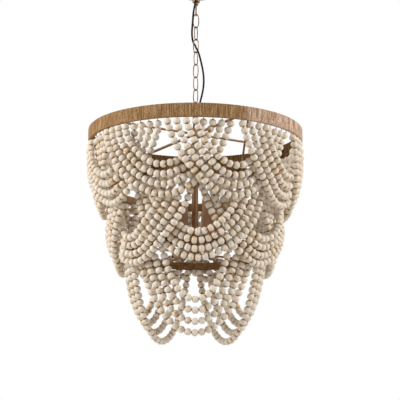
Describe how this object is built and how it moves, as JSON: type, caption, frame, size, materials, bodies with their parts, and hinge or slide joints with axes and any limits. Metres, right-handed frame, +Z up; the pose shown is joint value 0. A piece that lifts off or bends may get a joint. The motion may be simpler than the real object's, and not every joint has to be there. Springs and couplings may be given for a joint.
{
  "type": "beaded chandelier",
  "caption": "Round chandelier with a cord-wrapped top ring and draped strings of wooden beads in stepped tiers around candle lamps, hung on a link chain from a domed ceiling canopy.",
  "frame": {"origin": "on the ceiling plane, on the chain's axis", "axes": "+Z up into the ceiling, -Y towards the viewer, X to the viewer's right"},
  "size_m": [0.5097, 0.5093, 0.8655],
  "materials": {
    "zinc_steel": "plain zinc",
    "weathered_metal": "weathered brown and copper",
    "brown_metal": "satin dark brown",
    "jute": "wound jute yarn",
    "wood_beads": "whitewashed",
    "candle_sleeve": "matte tan",
    "black_plastic": "matte",
    "black_cord": "satin"
  },
  "bodies": {
    "canopy": {"mounting_strap": "zinc_steel", "threaded_nipple": "zinc_steel", "lock_nut": "zinc_steel", "canopy_cover": "weathered_metal", "cord_gland": "black_plastic", "collar_nut": "weathered_metal", "canopy_loop": "weathered_metal", "supply_cord": "black_cord"},
    "link_1": {"chain_link_1": "weathered_metal"},
    "link_2": {"chain_link_2": "weathered_metal"},
    "link_3": {"chain_link_3": "weathered_metal"},
    "link_4": {"chain_link_4": "weathered_metal"},
    "link_5": {"chain_link_5": "weathered_metal"},
    "link_6": {"chain_link_6": "weathered_metal"},
    "link_7": {"chain_link_7": "weathered_metal"},
    "link_8": {"chain_link_8": "weathered_metal"},
    "fixture": {"top_loop": "weathered_metal", "cord_bush": "black_plastic", "top_spider": "brown_metal", "center_stem": "brown_metal", "lamp_arms": "brown_metal", "candle_sleeve_1": "candle_sleeve", "lamp_socket_1": "black_plastic", "candle_sleeve_2": "candle_sleeve", "lamp_socket_2": "black_plastic", "candle_sleeve_3": "candle_sleeve", "lamp_socket_3": "black_plastic", "candle_sleeve_4": "candle_sleeve", "lamp_socket_4": "black_plastic", "lamp_leads": "black_cord", "lower_spider": "brown_metal", "finial": "brown_metal", "frame_rib_1": "brown_metal", "frame_rib_2": "brown_metal", "frame_rib_3": "brown_metal", "frame_rib_4": "brown_metal", "top_ring": "brown_metal", "jute_wrap": "jute", "middle_ring": "brown_metal", "bottom_ring": "brown_metal", "upper_swag_1": "wood_beads", "upper_swag_2": "wood_beads", "upper_swag_3": "wood_beads", "upper_swag_4": "wood_beads", "upper_swag_5": "wood_beads", "upper_swag_6": "wood_beads", "upper_swag_7": "wood_beads", "upper_swag_8": "wood_beads", "upper_swag_9": "wood_beads", "middle_swag_1": "wood_beads", "middle_swag_2": "wood_beads", "middle_swag_3": "wood_beads", "middle_swag_4": "wood_beads", "middle_swag_5": "wood_beads", "middle_swag_6": "wood_beads", "middle_swag_7": "wood_beads", "lower_swag_1": "wood_beads", "lower_swag_2": "wood_beads", "lower_swag_3": "wood_beads"}
  },
  "joints": [
    {"name": "link_1_swing", "type": "hinge", "parent": "canopy", "child": "link_1", "pos_m": [0, 0, -0.072], "axis": [0, 1, 0], "range_deg": [-25, 25], "deforming": ["supply_cord"]},
    {"name": "link_2_swing", "type": "hinge", "parent": "link_1", "child": "link_2", "pos_m": [0, 0, -0.10275], "axis": [-1, 0, 0], "range_deg": [-25, 25], "deforming": ["supply_cord"]},
    {"name": "link_3_swing", "type": "hinge", "parent": "link_2", "child": "link_3", "pos_m": [0, 0, -0.13405], "axis": [0.5446, 0.8387, 0], "range_deg": [-25, 25], "deforming": ["supply_cord"]},
    {"name": "link_4_swing", "type": "hinge", "parent": "link_3", "child": "link_4", "pos_m": [0, 0, -0.16535], "axis": [-0.8988, 0.4384, 0], "range_deg": [-25, 25], "deforming": ["supply_cord"]},
    {"name": "link_5_swing", "type": "hinge", "parent": "link_4", "child": "link_5", "pos_m": [0, 0, -0.19665], "axis": [0.6561, 0.7547, 0], "range_deg": [-25, 25], "deforming": ["supply_cord"]},
    {"name": "link_6_swing", "type": "hinge", "parent": "link_5", "child": "link_6", "pos_m": [0, 0, -0.22795], "axis": [-0.8572, 0.515, 0], "range_deg": [-25, 25], "deforming": ["supply_cord"]},
    {"name": "link_7_swing", "type": "hinge", "parent": "link_6", "child": "link_7", "pos_m": [0, 0, -0.25925], "axis": [0.766, 0.6428, 0], "range_deg": [-25, 25], "deforming": ["supply_cord"]},
    {"name": "link_8_swing", "type": "hinge", "parent": "link_7", "child": "link_8", "pos_m": [0, 0, -0.29055], "axis": [-0.788, 0.6157, 0], "range_deg": [-25, 25], "deforming": ["supply_cord"]},
    {"name": "fixture_swing", "type": "hinge", "parent": "link_8", "child": "fixture", "pos_m": [0, 0, -0.32185], "axis": [0.6691, 0.7431, 0], "range_deg": [-25, 25], "deforming": ["supply_cord"]}
  ]
}
